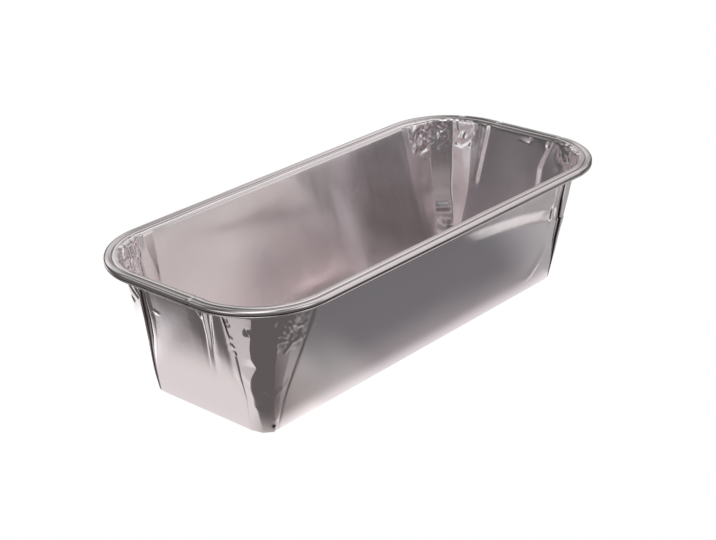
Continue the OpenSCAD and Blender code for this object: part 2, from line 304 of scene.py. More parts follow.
class PanSizes(bpy.types.PropertyGroup):
    """Sizes of the pan"""
    rim_length: length("Rim length", "Length over the curled bead", PAN_LENGTH)
    rim_width: length("Rim width", "Width over the curled bead", PAN_WIDTH)
    rim_corner_radius: length(
        "Rim corner radius", "Radius of the rim's outer edge at the corners", 34 * MM)
    rim_reach: length("Rim reach", "How far the rim reaches out from the top of the wall", 6.6 * MM)
    rim_bend: length("Rim bend", "Radius of the bend from the wall into the flange", 1.6 * MM)
    bead_diameter: length("Bead diameter", "Diameter of the curled bead", 2.7 * MM)
    bead_step: length("Bead step", "How far the bead stands above the flange", 0.35 * MM)
    pan_height: length(
        "Height", "Height from the underside to the top of the bead", PAN_HEIGHT - BEAD_DROP * MM)
    bottom_length: length("Bottom length", "Length of the bottom", 191 * MM)
    bottom_width: length("Bottom width", "Width of the bottom", 64 * MM)
    bottom_corner_radius: length(
        "Bottom corner radius", "Radius of the bottom's corners, seen from above", 8 * MM)
    bottom_bend: length("Bottom bend", "Radius of the bend from the bottom into the walls", 1.5 * MM)
    foil_thickness: length("Foil thickness", "Thickness of the foil", 0.1 * MM)
    fold_depth: length("Fold depth", "Depth of the deepest gather in a corner", 1.4 * MM)
    fold_spread: length(
        "Fold spread", "Distance along a straight wall that counts as one unit past a corner", 40 * MM)


class FoilFinish(bpy.types.PropertyGroup):
    """Colours and finish of the foil"""
    foil_colour: FloatVectorProperty(
        name="Foil colour", description="Colour of the bright foil",
        subtype="COLOR", size=3, min=0, max=1, default=(0.955, 0.895, 0.9))
    foil_shade: FloatVectorProperty(
        name="Streak colour", description="Colour of the duller rolling streaks",
        subtype="COLOR", size=3, min=0, max=1, default=(0.93, 0.865, 0.875))
    # Painted shade: the dark colour painted into the tight folds and onto the rim's pressed rings, in
    # place of their shade
    fold_shade_colour: FloatVectorProperty(
        name="Painted fold shade colour", description="Colour inside the tight folds",
        subtype="COLOR", size=3, min=0, max=1, default=(0.035, 0.03, 0.033))
    roughness: FloatProperty(
        name="Roughness", description="How blurred the foil's reflections are",
        default=0.17, min=0.02, max=1, subtype="FACTOR")
    dent_height: length("Dent height", "Height of the small dents of handling", 0.05 * MM)
    grain_height: length("Grain height", "Height of the rolling lines", 0.0015 * MM)


def mixed(a, b, share):
    """A value between two others."""
    return a + (b - a) * share


def smooth(x):
    """A soft step from 0 to 1."""
    t = np.clip(x, 0, 1)
    return t * t * (3 - 2 * t)


def outline_at(outline, corner, place, spread):
    """The points at some places of rounded rectangles, and their headings in radians."""
    half_length, half_width, radius = outline
    side_x, side_y = CORNER_SIGNS[corner]
    turn = math.pi / 2 * (corner + np.clip(place, 0, 1))
    past = np.where(place < 0, place, np.maximum(0, place - 1)) * spread
    x = side_x * (half_length - radius) + radius * np.cos(turn) - past * np.sin(turn)
    y = side_y * (half_width - radius) + radius * np.sin(turn) + past * np.cos(turn)
    return x, y, turn


# The sheet's columns are about this many millimetres apart, in the folds and on the straight walls
FOLD_COLUMN = 0.64
WALL_COLUMN = 5.0

# How flat the facets between two gathers are, from 0, as round as the corner, to 1
FLATNESS = 0.9


def sheet_columns(outline, share, sizes):
    """The columns of points that run up the sheet: flat facets between the gathers' lines, and the
    straight walls between the corners. Gives x, y, heading, and the smooth outline that the rim keeps."""
    spread, fold_depth = sizes.fold_spread / MM, sizes.fold_depth / MM
    lines = []
    for corner, folds in enumerate(CORNER_FOLDS):
        for number, knots in enumerate(folds):
            shares, places, depths = zip(*knots)
            place = np.interp(share, shares, places)
            depth = np.interp(share, shares, depths) * fold_depth
            lines.append((corner, number == len(folds) - 1, place, depth))
    columns = []
    for number, (corner, last, place, depth) in enumerate(lines):
        next_corner, _, next_place, next_depth = lines[(number + 1) % len(lines)]
        x0, y0, turn0 = outline_at(outline, corner, place, spread)
        x1, y1, turn1 = outline_at(outline, next_corner, next_place, spread)
        gap = math.hypot(x1[-1] - x0[-1], y1[-1] - y0[-1])
        steps = max(1, round(gap / (WALL_COLUMN if last else FOLD_COLUMN)))
        for step in range(steps):
            part = step / steps
            push = mixed(depth, next_depth, part)
            flat_x = mixed(x0 + depth * np.cos(turn0), x1 + next_depth * np.cos(turn1), part)
            flat_y = mixed(y0 + depth * np.sin(turn0), y1 + next_depth * np.sin(turn1), part)
            if last:
                round_x, round_y, turn = mixed(x0, x1, part), mixed(y0, y1, part), turn0
            else:
                between = mixed(place, next_place, part)
                round_x, round_y, turn = outline_at(outline, corner, between, spread)
            push_x = mixed(round_x + push * np.cos(turn), flat_x, FLATNESS) - round_x
            push_y = mixed(round_y + push * np.sin(turn), flat_y, FLATNESS) - round_y
            columns.append((round_x, round_y, turn, push_x, push_y))
    return [np.stack(values, axis=1) for values in zip(*columns)]


# One ring of the section: its share of the wall's height, its offset from the outline there, its height,
# how far out on the bottom it is, the sideways and downward parts of the way that dents go, and how
# much of the gathers it shows
Ring = namedtuple("Ring", "share offset height out side down shown")

# How far out the bottom's rings are, and how many rings the bend at the foot, the wall's lower and upper
# half and the bend at the rim have
BOTTOM_RINGS = (0.05, 0.3, 0.6, 0.85)
FOOT_RINGS = 5
LOWER_WALL_RINGS = 26
UPPER_WALL_RINGS = 45
RIM_BEND_RINGS = 6

# How much less of the gathers each ring of the rim's bend shows than the one before, and how much of
# them the flange shows at the bend, before it fades out
BEND_FADE = 0.14
FLANGE_SHOWN = 0.15

# The flange's lines, from its bend outwards: a thin pressed line and a groove before the bead, each as a
# distance from the bend and a drop in millimetres
FLANGE_LINES = ((0.35, 0.06), (0.7, 0), (1.4, 0), (1.85, 0.2))

# The bead's turns round its middle, from the groove over the top and down its outer side, and the
# turns of the small roll under it, with its radius, its middle's drop and its inset in millimetres
BEAD_TURNS = (109, 99, 90, 68, 46, 24, 2, -20)
ROLL_TURNS = (70, 35, 0, -35, -70, -110)
ROLL_RADIUS = 0.45
ROLL_DROP = 1.2
ROLL_INSET = 0.5

# Where the crease over the small roll lies from the top of the roll
CREASE_INSET = 0.1
CREASE_RISE = 0.02

# The rings where the rim's foil is pressed tight, counted back from the curl's end, and how dark the
# painted
# shade on them is: the crease over the small roll, the bead's lower edge and the groove. Last, how much
# the rim's waves change that painted shade.
CREASE_RING = -len(ROLL_TURNS) - 1
LIP_RING = CREASE_RING - 1
GROOVE_RING = CREASE_RING - len(BEAD_TURNS) - 2
PAINTED_RIM_SHADE = ((CREASE_RING, 0.9), (LIP_RING, 0.75), (GROOVE_RING, 0.75))
RIM_SHADE_CHANGE = 0.15


def curl_rings(middle, centre, radius, turns):
    """Rings round the middle of a bead, at some turns in degrees."""
    rings = []
    for turn in turns:
        across, up = math.cos(math.radians(turn)), math.sin(math.radians(turn))
        rings.append(Ring(1, middle + radius * across, centre + radius * up, 1, across, -up, 0))
    return rings


def sheet_rings(sizes):
    """The section from the bottom's middle out to the end of the curl, as a table of rings."""
    height, reach, bead = sizes.pan_height / MM, sizes.rim_reach / MM, sizes.bead_diameter / MM / 2
    flange = height - sizes.bead_step / MM
    foot, bend, thick = sizes.bottom_bend / MM, sizes.rim_bend / MM, sizes.foil_thickness / MM
    spare = sizes.rim_length - sizes.bottom_length + sizes.rim_width - sizes.bottom_width
    run = (spare / 4) / MM - reach
    draft = math.atan(run / (flange - bend))
    rings = [Ring(0, -foot, thick, out, 1, 0, out) for out in BOTTOM_RINGS]
    for i in range(FOOT_RINGS):
        turn = (math.pi / 2 - draft) * i / (FOOT_RINGS - 1)
        rings.append(Ring(0, foot * (math.sin(turn) - 1), thick + foot * (1 - math.cos(turn)), 1, 1, 0, 1))
    low = rings[-1]
    head_offset, head_height = bend * (1 - math.cos(draft)), flange - bend * (1 - math.sin(draft))
    lower = np.linspace(0, 0.5, LOWER_WALL_RINGS + 1)[1:]
    upper = np.linspace(0.5, 1, UPPER_WALL_RINGS + 2)[1:-1]
    for share in (*lower, *upper):
        rings.append(Ring(
            share, mixed(low.offset, head_offset, share), mixed(low.height, head_height, share), 1,
            math.cos(draft), math.sin(draft), 1))
    for i in range(RIM_BEND_RINGS):
        turn = draft + (math.pi / 2 - draft) * i / (RIM_BEND_RINGS - 1)
        rings.append(Ring(
            1, bend * (1 - math.cos(turn)), flange - bend * (1 - math.sin(turn)), 1,
            math.cos(turn), math.sin(turn), 1 - BEND_FADE * i))
    for off, drop in FLANGE_LINES:
        shown = FLANGE_SHOWN * (1 - off / FLANGE_LINES[-1][0])
        rings.append(Ring(1, bend + off, flange - drop, 1, 0, 1, shown))
    groove = rings[-1]
    curl = curl_rings(reach - bead, height - bead, bead, BEAD_TURNS)
    ramp = mixed(groove.offset, curl[0].offset, 0.5), mixed(groove.height, curl[0].height, 0.5)
    roll_middle, roll_centre = reach - ROLL_INSET, height - bead - ROLL_DROP
    crease = roll_middle - CREASE_INSET, roll_centre + ROLL_RADIUS + CREASE_RISE
    rings += [Ring(1, *ramp, 1, 0, 1, 0), *curl, Ring(1, *crease, 1, 1, 0, 0)]
    rings += curl_rings(roll_middle, roll_centre, ROLL_RADIUS, ROLL_TURNS)
    return np.array(rings, float)


# The length of the table that chance values are drawn from, and two numbers that spread them out
CHANCE_COUNT = 4096
CHANCE_STEPS = (157, 911)


def chance(i, j, seed):
    """A repeatable chance value from -1 to 1 for each pair of whole numbers."""
    table = np.random.RandomState(seed).uniform(-1, 1, CHANCE_COUNT)
    return table[(i.astype(int) * CHANCE_STEPS[0] + j.astype(int) * CHANCE_STEPS[1]) % CHANCE_COUNT]


def soft_chance(u, v, seed):
    """Chance values that change smoothly, about one swell for each unit."""
    i, j = np.floor(u), np.floor(v)
    a, b = smooth(u - i), smooth(v - j)
    low = mixed(chance(i, j, seed), chance(i + 1, j, seed), a)
    high = mixed(chance(i, j + 1, seed), chance(i + 1, j + 1, seed), a)
    return mixed(low, high, b)


# How far the crumples' corners stray, how broad the straying is, its shift along the chance values, and
# how a square lattice leans to make three-sided facets
STRAY = 0.45
STRAY_SCALE = 0.8
STRAY_SHIFT = 9
LEAN = 0.366


def crumples(u, v, seed):
    """Heights of a sheet that is crumpled into small three-sided facets, about one unit across."""
    u = u + STRAY * soft_chance(u * STRAY_SCALE, v * STRAY_SCALE, seed + 1)
    v = v + STRAY * soft_chance(u * STRAY_SCALE + STRAY_SHIFT, v * STRAY_SCALE, seed + 2)
    lean = (u + v) * LEAN
    i, j = np.floor(u + lean), np.floor(v + lean)
    a, b = u + lean - i, v + lean - j
    start, end = chance(i, j, seed), chance(i + 1, j + 1, seed)
    right, left = chance(i + 1, j, seed), chance(i, j + 1, seed)
    return np.where(
        a > b,
        start + (right - start) * a + (end - right) * b,
        start + (left - start) * b + (end - left) * a)


def corner_length(place, radius, spread):
    """The way along the outline from the start of a corner's arc to a place, in millimetres."""
    arc = math.pi / 2 * radius
    onward = np.where(place > 1, arc + (place - 1) * spread, place * arc)
    return np.where(place < 0, place * spread, onward)


# The wall's height that shares of creases and crumples are measured on, a length beyond every crease,
# and the least that counts as a length, in millimetres
WALL_HEIGHT = 60.0
FAR_AWAY = 1000.0
LEAST = 1e-6


def corner_way(x, y, outline, corner):
    """The same length for points of the sheet, as they lie round one corner. Those beyond its walls are
    put far away."""
    half_length, half_width, radius = outline
    side_x, side_y = CORNER_SIGNS[corner]
    dx, dy = x - side_x * (half_length - radius), y - side_y * (half_width - radius)
    turn = -math.pi / 2 * corner
    along, across = dx * math.cos(turn) - dy * math.sin(turn), dx * math.sin(turn) + dy * math.cos(turn)
    arc = radius * np.arctan2(np.maximum(across, 0), np.maximum(along, LEAST))
    way = np.where(across < 0, across, np.where(along < 0, math.pi / 2 * radius - along, arc))
    return np.where((along < 0) & (across < 0), FAR_AWAY, way)


def stroke(way, level, points, left_width, right_width, radius, spread):
    """How near each point is to a line on the wall, from 1 on it to 0 at its width's edge. A point of the
    line may say how strong the line is there."""
    best = np.zeros_like(way)
    for (place0, share0, *strong0), (place1, share1, *strong1) in zip(points, points[1:]):
        u0, u1 = corner_length(place0, radius, spread), corner_length(place1, radius, spread)
        v0, v1 = share0 * WALL_HEIGHT, share1 * WALL_HEIGHT
        du, dv = u1 - u0, v1 - v0
        pu, pv = way - u0, level - v0
        along = np.clip((pu * du + pv * dv) / (du * du + dv * dv), 0, 1)
        off = np.hypot(pu - along * du, pv - along * dv)
        width = np.where(du * pv - dv * pu > 0, left_width, right_width)
        strength = mixed(*[strong[0] if strong else 1 for strong in (strong0, strong1)], along)
        best = np.maximum(best, (1 - off / width) * strength)
    return best


# The crumples: how wide and tall the broad and the fine facets are in millimetres, how high the fine ones
# are beside the broad ones, and how softly a zone ends, in millimetres along and as shares of the height
BROAD_CRUMPLES = (3.2, 5)
FINE_CRUMPLES = (1.6, 2.4)
FINE_SHARE = 0.45
ZONE_END = 2
ZONE_FOOT = 0.08
ZONE_HEAD = 0.05

# The soft swells of the walls: their height and lengths in millimetres, on the long walls and the ends,
# how many there are up a wall, and the share of the height over which they fade out
SWELL_HEIGHT = 0.25
LONG_SWELL = 34
END_SWELL = 24
SWELLS_UP = 1.8
SWELL_FADE = 0.2

# The rim's waves: their height and length in millimetres, and their length round a corner in degrees
WAVE_HEIGHT = 0.1
WAVE_LENGTH = 16
WAVE_TURN = 13

# A ring lies in the flange where the downward part of its dents is more than this
FLAT_DOWN = 0.99

# Seeds of the chance values, and shifts along them
BROAD_SEED, FINE_SEED, LONG_SWELL_SEED, END_SWELL_SEED, WAVE_SEED = 20, 40, 3, 4, 6
FINE_SHIFT, LONG_SWELL_SHIFT, END_SWELL_SHIFT = 7, 5, 9


def crumpled_zone(number, way, level, share, radius, spread):
    """The heights of the crumples in one zone, in millimetres."""
    first, last, low, high, height = CRUMPLED_ZONES[number][1:]
    start, end = corner_length(first, radius, spread), corner_length(last, radius, spread)
    inside = np.clip((way - start) / ZONE_END, 0, 1) * np.clip((end - way) / ZONE_END, 0, 1)
    foot, head = (share - low) / ZONE_FOOT, (high + ZONE_HEAD - share) / ZONE_HEAD
    inside *= np.clip(foot, 0, 1) * np.clip(head, 0, 1)
    rough = crumples(way / BROAD_CRUMPLES[0], level / BROAD_CRUMPLES[1], BROAD_SEED + number)
    fine = crumples(way / FINE_CRUMPLES[0] + FINE_SHIFT, level / FINE_CRUMPLES[1], FINE_SEED + number)
    return height * inside * (rough + FINE_SHARE * fine)


def corner_marks(x, y, share, outline, spread):
    """The dents in millimetres of the creases and crumples of all corners, and how dark the painted fold
    shade is at each point."""
    radius, level = outline[2], share * WALL_HEIGHT
    dent, gap = np.zeros_like(x), np.zeros_like(x)
    for corner, creases in enumerate(CREASES):
        way = corner_way(x, y, outline, corner)
        for height, *widths, points in creases:
            dent += height * stroke(way, level, points, widths[0], widths[-1], radius, spread)
        # Painted shade along the tight folds of this corner
        for there, width, dark, points in PAINTED_FOLD_SHADE:
            if there == corner:
                gap = np.maximum(gap, dark * stroke(way, level, points, width, width, radius, spread))
        for number, zone in enumerate(CRUMPLED_ZONES):
            if zone[0] == corner:
                dent += crumpled_zone(number, way, level, share, radius, spread)
    return dent, gap


def shape_sheet(sizes):
    """The x, y and z of every point of the sheet, in millimetres, and how dark its painted fold shade is.
    """
    spread = sizes.fold_spread / MM
    reach, thick = sizes.rim_reach / MM, sizes.foil_thickness / MM
    top = np.array((sizes.rim_length / 2, sizes.rim_width / 2, sizes.rim_corner_radius))
    bottom = np.array((sizes.bottom_length / 2, sizes.bottom_width / 2, sizes.bottom_corner_radius))
    top, bottom = top / MM - reach, bottom / MM - thick
    rings = sheet_rings(sizes)
    share = rings[:, 0]
    outline = [mixed(low, high, share) for low, high in zip(bottom, top)]
    x, y, turn, push_x, push_y = sheet_columns(outline, share, sizes)
    share, offset, z, out, side, down, shown = [rings[:, [i]] for i in range(rings.shape[1])]
    outline = [values[:, None] for values in outline]

    dent, gap = corner_marks(x, y, share, outline, spread)
    up = share * SWELLS_UP
    swell = np.abs(np.sin(turn)) * soft_chance(x / LONG_SWELL + LONG_SWELL_SHIFT, up, LONG_SWELL_SEED)
    swell += np.abs(np.cos(turn)) * soft_chance(y / END_SWELL + END_SWELL_SHIFT, up, END_SWELL_SEED)
    dent += SWELL_HEIGHT * swell * smooth(share / SWELL_FADE) * smooth((1 - share) / SWELL_FADE)
    dent = dent * shown

    wave = soft_chance(np.degrees(turn) / WAVE_TURN + x / WAVE_LENGTH, y / WAVE_LENGTH, WAVE_SEED)
    dent += np.where((shown == 0) | (down > FLAT_DOWN), WAVE_HEIGHT * (wave - 1) / 2, 0)
    for corner, place, width, depth in RIM_NICKS:
        off = np.abs(corner_way(x, y, outline, corner) - corner_length(place, outline[2], spread))
        dent -= np.where(shown == 0, depth * np.clip(1 - off / width, 0, 1), 0)

    # Painted shade, kept off the bottom and fading with the gathers, then painted shade on the rim's
    # pressed rings
    gap = np.where(out < 1, 0, gap * shown)
    for ring, dark in PAINTED_RIM_SHADE:
        gap[ring] = dark * (1 - RIM_SHADE_CHANGE + RIM_SHADE_CHANGE * wave[ring])

    x = x + (offset + dent * side) * np.cos(turn) + push_x * shown
    y = y + (offset + dent * side) * np.sin(turn) + push_y * shown
    z = z - dent * down
    spine = bottom[0] - bottom[1]
    return mixed(np.clip(x, -spine, spine), x, out), y * out, z, gap


# Half the side of the grid that the sheet is made from, and how near points are merged, in metres
GRID_HALF = 0.5
MERGE_DISTANCE = 1e-7


def build_sheet(sizes):
    """The pan's sheet as a grid of columns and rings, moved into shape, closed at its seam and across its
    bottom, with sharp lines on the rim."""
    x, y, z, gap = shape_sheet(sizes)
    levels, count = x.shape
    bm = bmesh.new()
    bmesh.ops.create_grid(bm, x_segments=count, y_segments=levels - 1, size=GRID_HALF)
    # The painted fold shade of each point, which darkens the foil's colour in the tight folds and on the
    # rim's pressed rings
    painted_fold_shade = bm.verts.layers.float.new("painted_fold_shade")
    bend_end = GROOVE_RING - len(FLANGE_LINES)
    sharp_rings = [levels + ring for ring in (*range(bend_end, GROOVE_RING + 1), LIP_RING, CREASE_RING)]
    for e in bm.edges:
        low, high = [round((v.co.y + GRID_HALF) * (levels - 1)) for v in e.verts]
        e.smooth = not (low == high and low in sharp_rings)
    for v in bm.verts:
        i = round((v.co.x + GRID_HALF) * count) % count
        j = round((v.co.y + GRID_HALF) * (levels - 1))
        v.co = (x[j, i] * MM, y[j, i] * MM, z[j, i] * MM)
        v[painted_fold_shade] = gap[j, i]
    bmesh.ops.remove_doubles(bm, verts=bm.verts, dist=MERGE_DISTANCE)
    hole = [e for e in bm.edges if e.is_boundary and e.verts[0].co.z < 1 * MM]
    bmesh.ops.contextual_create(bm, geom=hole)
    bmesh.ops.recalc_face_normals(bm, faces=bm.faces)
    lowest = min(bm.faces, key=lambda f: f.calc_center_median().z)
    if lowest.normal.z < 0:
        bmesh.ops.reverse_faces(bm, faces=bm.faces)
    return bm


def feed(tree, socket, value):
    """Gives a socket a number or another node's output."""
    if isinstance(value, bpy.types.NodeSocket):
        tree.links.new(value, socket)
    else:
        socket.default_value = value


def math_node(tree, operation, *values):
    """A Math node fed by numbers or by other nodes' outputs."""
    node = tree.nodes.new("ShaderNodeMath")
    node.operation = operation
    for socket, value in zip(node.inputs, values):
        feed(tree, socket, value)
    return node.outputs[0]


def ramp_node(tree, value, start, end, low=0.0, high=1.0):
    """A smooth step of a value from one level to another."""
    node = tree.nodes.new("ShaderNodeMapRange")
    node.interpolation_type = "SMOOTHSTEP"
    tree.links.new(value, node.inputs["Value"])
    for name, level in (("From Min", start), ("From Max", end), ("To Min", low), ("To Max", high)):
        node.inputs[name].default_value = level
    return node.outputs[0]


def effect_group(name, inputs, outputs):
    """A node group for one surface effect, with named sockets, and its input and output nodes."""
    group = bpy.data.node_groups.new(name, "ShaderNodeTree")
    for socket, value in inputs:
        made = group.interface.new_socket(socket, in_out="INPUT", socket_type="NodeSocketFloat")
        made.default_value = value
    for socket in outputs:
        group.interface.new_socket(socket, in_out="OUTPUT", socket_type="NodeSocketFloat")
    return group, group.nodes.new("NodeGroupInput").outputs, group.nodes.new("NodeGroupOutput").inputs


def noise_node(tree, place, scale, detail, rough=0.5):
    """A Noise texture at a place, about one swell for each 1/scale metres."""
    node = tree.nodes.new("ShaderNodeTexNoise")
    tree.links.new(place, node.inputs["Vector"])
    feed(tree, node.inputs["Scale"], scale)
    node.inputs["Detail"].default_value = detail
    node.inputs["Roughness"].default_value = rough
    return node.outputs["Fac"]


def stretched(tree, place, factors):
    """A place scaled by a factor along each axis."""
    node = tree.nodes.new("ShaderNodeMapping")
    node.inputs["Scale"].default_value = factors
    tree.links.new(place, node.inputs["Vector"])
    return node.outputs[0]


# How the foil's marks lie: how many there are in a metre, and how they are stretched along X, Y and Z
LINES_PER_METRE = 1400.0
LINE_STRETCH = (1, 0.03, 0.05)
STREAKS_PER_METRE = 160
STREAK_STRETCH = (1, 0.08, 0.12)
DENTS_PER_METRE = 90.0
SCUFFS_PER_METRE = 420
SCUFF_STRETCH = (1, 1, 2.2)

# The share of the broad streaks beside the fine lines
STREAK_SHARE = 0.6

# The values over which scuffs, streaks and the painted fold shade come in, and how much streaks and scuffs
# change the roughness
SCUFF_RANGE = (0.56, 0.72)
STREAK_RANGE = (0.3, 0.7)
FOLD_SHADE_RANGE = (0.2, 0.8)
STREAK_ROUGHNESS = 0.02
SCUFF_ROUGHNESS = 0.06


def rolling_grain_group():
    """The fine lines that the rollers leave in foil. They run across the pan, and so up its long walls."""
    group, given, out = effect_group(
        "rolling_grain", (("Lines per metre", LINES_PER_METRE),), ("Height", "Streaks"))
    place = group.nodes.new("ShaderNodeTexCoord").outputs["Object"]
    fine = noise_node(group, stretched(group, place, LINE_STRETCH), given[0], detail=2)
    broad = noise_node(group, stretched(group, place, STREAK_STRETCH), STREAKS_PER_METRE, detail=3)
    group.links.new(fine, out["Height"])
    group.links.new(mixed_node(group, fine, broad, STREAK_SHARE), out["Streaks"])
    return group


def handling_dents_group():
    """Soft small dents of handled foil, and faint scuffs."""
    group, given, out = effect_group(
        "handling_dents", (("Dents per metre", DENTS_PER_METRE),), ("Height", "Scuffs"))
    place = group.nodes.new("ShaderNodeTexCoord").outputs["Object"]
    group.links.new(noise_node(group, place, given[0], detail=3, rough=0.55), out["Height"])
    scuff_place = stretched(group, place, SCUFF_STRETCH)
    scuffs = noise_node(group, scuff_place, SCUFFS_PER_METRE, detail=4, rough=0.7)
    group.links.new(ramp_node(group, scuffs, *SCUFF_RANGE), out["Scuffs"])
    return group


def mixed_node(tree, a, b, share):
    """A value between two others."""
    node = tree.nodes.new("ShaderNodeMix")
    for name, value in (("A", a), ("B", b), ("Factor", share)):
        feed(tree, node.inputs[name], value)
    return node.outputs["Result"]


def placed(tree, group):
    """A group's node in a material."""
    node = tree.nodes.new("ShaderNodeGroup")
    node.node_tree = group
    return node


def bump_node(tree, height, distance, normal=None):
    """A Bump node, laid over another one's normal if given."""
    node = tree.nodes.new("ShaderNodeBump")
    node.inputs["Distance"].default_value = distance
    node.inputs["Strength"].default_value = 1
    tree.links.new(height, node.inputs["Height"])
    if normal is not None:
        tree.links.new(normal, node.inputs["Normal"])
    return node.outputs["Normal"]


# The places of a Mix node's colour sockets
MIX_COLOUR_A, MIX_COLOUR_B, MIX_COLOUR_RESULT = 6, 7, 2


def mixed_colour_node(tree, a, b, share):
    """A colour between two others."""
    node = tree.nodes.new("ShaderNodeMix")
    node.data_type = "RGBA"
    feed(tree, node.inputs["Factor"], share)
    feed(tree, node.inputs[MIX_COLOUR_A], a)
    feed(tree, node.inputs[MIX_COLOUR_B], b)
    return node.outputs[MIX_COLOUR_RESULT]


def foil_material(finish):
    """Rolled aluminium foil: semi-gloss, with rolling lines, small dents and painted shade in the tight
    folds.
    """
    material = bpy.data.materials.new("foil")
    material.use_nodes = True
    tree = material.node_tree
    shader = tree.nodes["Principled BSDF"]
    shader.inputs["Metallic"].default_value = 1
    grain = placed(tree, rolling_grain_group())
    dents = placed(tree, handling_dents_group())
    # Painted shade: the foil's colour is darkened towards the fold shade colour in the tight folds and on
    # the rim's pressed rings
    gap = tree.nodes.new("ShaderNodeAttribute")
    gap.attribute_name = "painted_fold_shade"
    dark = ramp_node(tree, gap.outputs["Fac"], *FOLD_SHADE_RANGE)
    streaks = mixed_colour_node(
        tree, (*finish.foil_shade, 1), (*finish.foil_colour, 1), grain.outputs["Streaks"])
    colour = mixed_colour_node(tree, streaks, (*finish.fold_shade_colour, 1), dark)
    tree.links.new(colour, shader.inputs["Base Color"])
    low, high = finish.roughness - STREAK_ROUGHNESS, finish.roughness + STREAK_ROUGHNESS
    rough = ramp_node(tree, grain.outputs["Streaks"], *STREAK_RANGE, low, high)
    scuffed = math_node(tree, "MULTIPLY", dents.outputs["Scuffs"], SCUFF_ROUGHNESS)
    tree.links.new(math_node(tree, "ADD", rough, scuffed), shader.inputs["Roughness"])
    normal = bump_node(tree, dents.outputs["Height"], finish.dent_height)
    normal = bump_node(tree, grain.outputs["Height"], finish.grain_height, normal)
    tree.links.new(normal, shader.inputs["Normal"])
    return material


class PAN_OT_sheet(bpy.types.Operator):
    """Build the pan's foil sheet"""
    bl_idname = "loaf_pan.sheet"
    bl_label = "Foil sheet"

    def execute(self, context):
        sizes = context.scene.pan_sizes
        bm = build_sheet(sizes)
        mesh = bpy.data.meshes.new("pan_sheet")
        bm.to_mesh(mesh)
        bm.free()
        mesh.shade_smooth()
        piece = bpy.data.objects.new("pan_sheet", mesh)
        context.collection.objects.link(piece)
        mesh.materials.append(foil_material(context.scene.foil_finish))
        wall = piece.modifiers.new("foil_thickness", "SOLIDIFY")
        wall.thickness = sizes.foil_thickness
        wall.offset = -1
        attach(piece, "root")
        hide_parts("loaf_pan")
        return {"FINISHED"}


# The camera: its turn from straight in front, elevation and roll in degrees, its distance, its slide to
# the right and up and the height that it looks at in millimetres, and its focal length and picture
# width in pixels
CAMERA_TURN, CAMERA_ELEVATION, CAMERA_ROLL = -48.388, 24.124, -1.356
CAMERA_DISTANCE = 672.24
CAMERA_SLIDE = (-3.144, -2.54)
CAMERA_AIM = 30
CAMERA_FOCAL = 1587.67
PICTURE_WIDTH = 716
SENSOR_WIDTH = 36


def studio_camera(context):
    """The camera at the photo's angle."""
    turns = CAMERA_TURN, CAMERA_ELEVATION, CAMERA_ROLL
    azimuth, elevation, roll = [math.radians(turn) for turn in turns]
    slide_right, slide_up = [slide * MM for slide in CAMERA_SLIDE]
    back = Vector((
        math.sin(azimuth) * math.cos(elevation),
        -math.cos(azimuth) * math.cos(elevation),
        math.sin(elevation)))
    right = Vector((0, 0, 1)).cross(back).normalized()
    up = back.cross(right)
    turned_right = right * math.cos(roll) + up * math.sin(roll)
    turned_up = up * math.cos(roll) - right * math.sin(roll)
    data = bpy.data.cameras.new("studio_camera")
    data.sensor_width = SENSOR_WIDTH
    data.lens = CAMERA_FOCAL * SENSOR_WIDTH / PICTURE_WIDTH
    data.clip_start = 0.01
    data.clip_end = 50
    camera = bpy.data.objects.new("studio_camera", data)
    turn = Matrix((turned_right, turned_up, back)).transposed().to_4x4()
    aim, distance = Vector((0, 0, CAMERA_AIM * MM)), CAMERA_DISTANCE * MM
    place = aim + right * slide_right + up * slide_up + back * distance
    camera.matrix_world = Matrix.Translation(place) @ turn
    context.collection.objects.link(camera)
    context.scene.camera = camera


# The soft lights round the pan, as they show in the foil: azimuth from +X towards +Y, elevation and
# half spread in degrees, and colour
SKY_LIGHTS = (
    ("back_low", 45, 14, 18, (0.31, 0.29, 0.29)),
    ("back_high", 54, 27, 20, (0.66, 0.67, 0.65)),
    ("back_side_high", 32, 30, 18, (0.51, 0.49, 0.50)),
    ("back_side", 22, 12, 20, (0.35, 0.35, 0.35)),
    ("side_high", 12, 42, 24, (0.81, 0.79, 0.80)),
    ("side_mid", -12, 24, 24, (0.58, 0.58, 0.58)),
    ("front_side", -36, 36, 22, (0.87, 0.87, 0.86)),
    ("front_side_low", -45, 8, 20, (0.89, 0.87, 0.87)),
    ("front_high", -75, 36, 26, (1.07, 1.07, 1.07)),
    ("back_edge", 80, 22, 22, (1.09, 1.09, 1.09)),
    ("back_top", 92, 50, 28, (0.14, 0.14, 0.14)),
    ("left_back", 132, 26, 32, (0.07, 0.07, 0.07)),
    ("left_back_high", 122, 39, 19, (0.42, 0.41, 0.41)),
    ("left", 180, 18, 30, (0.97, 0.98, 1.01)),
    ("left_front", 215, 14, 26, (0.09, 0.09, 0.10)),
    ("front", 250, 22, 28, (0.30, 0.30, 0.32)),
    ("front_low", 285, 10, 24, (0.41, 0.41, 0.41)),
    ("top_side", 0, 64, 28, (0.92, 0.92, 0.92)),
    ("top", 0, 90, 26, (0.98, 0.98, 0.98)),
    ("top_left", 212, 58, 30, (1.59, 1.59, 1.60)),
)
SKY_BASE = (0.07, 0.07, 0.07)

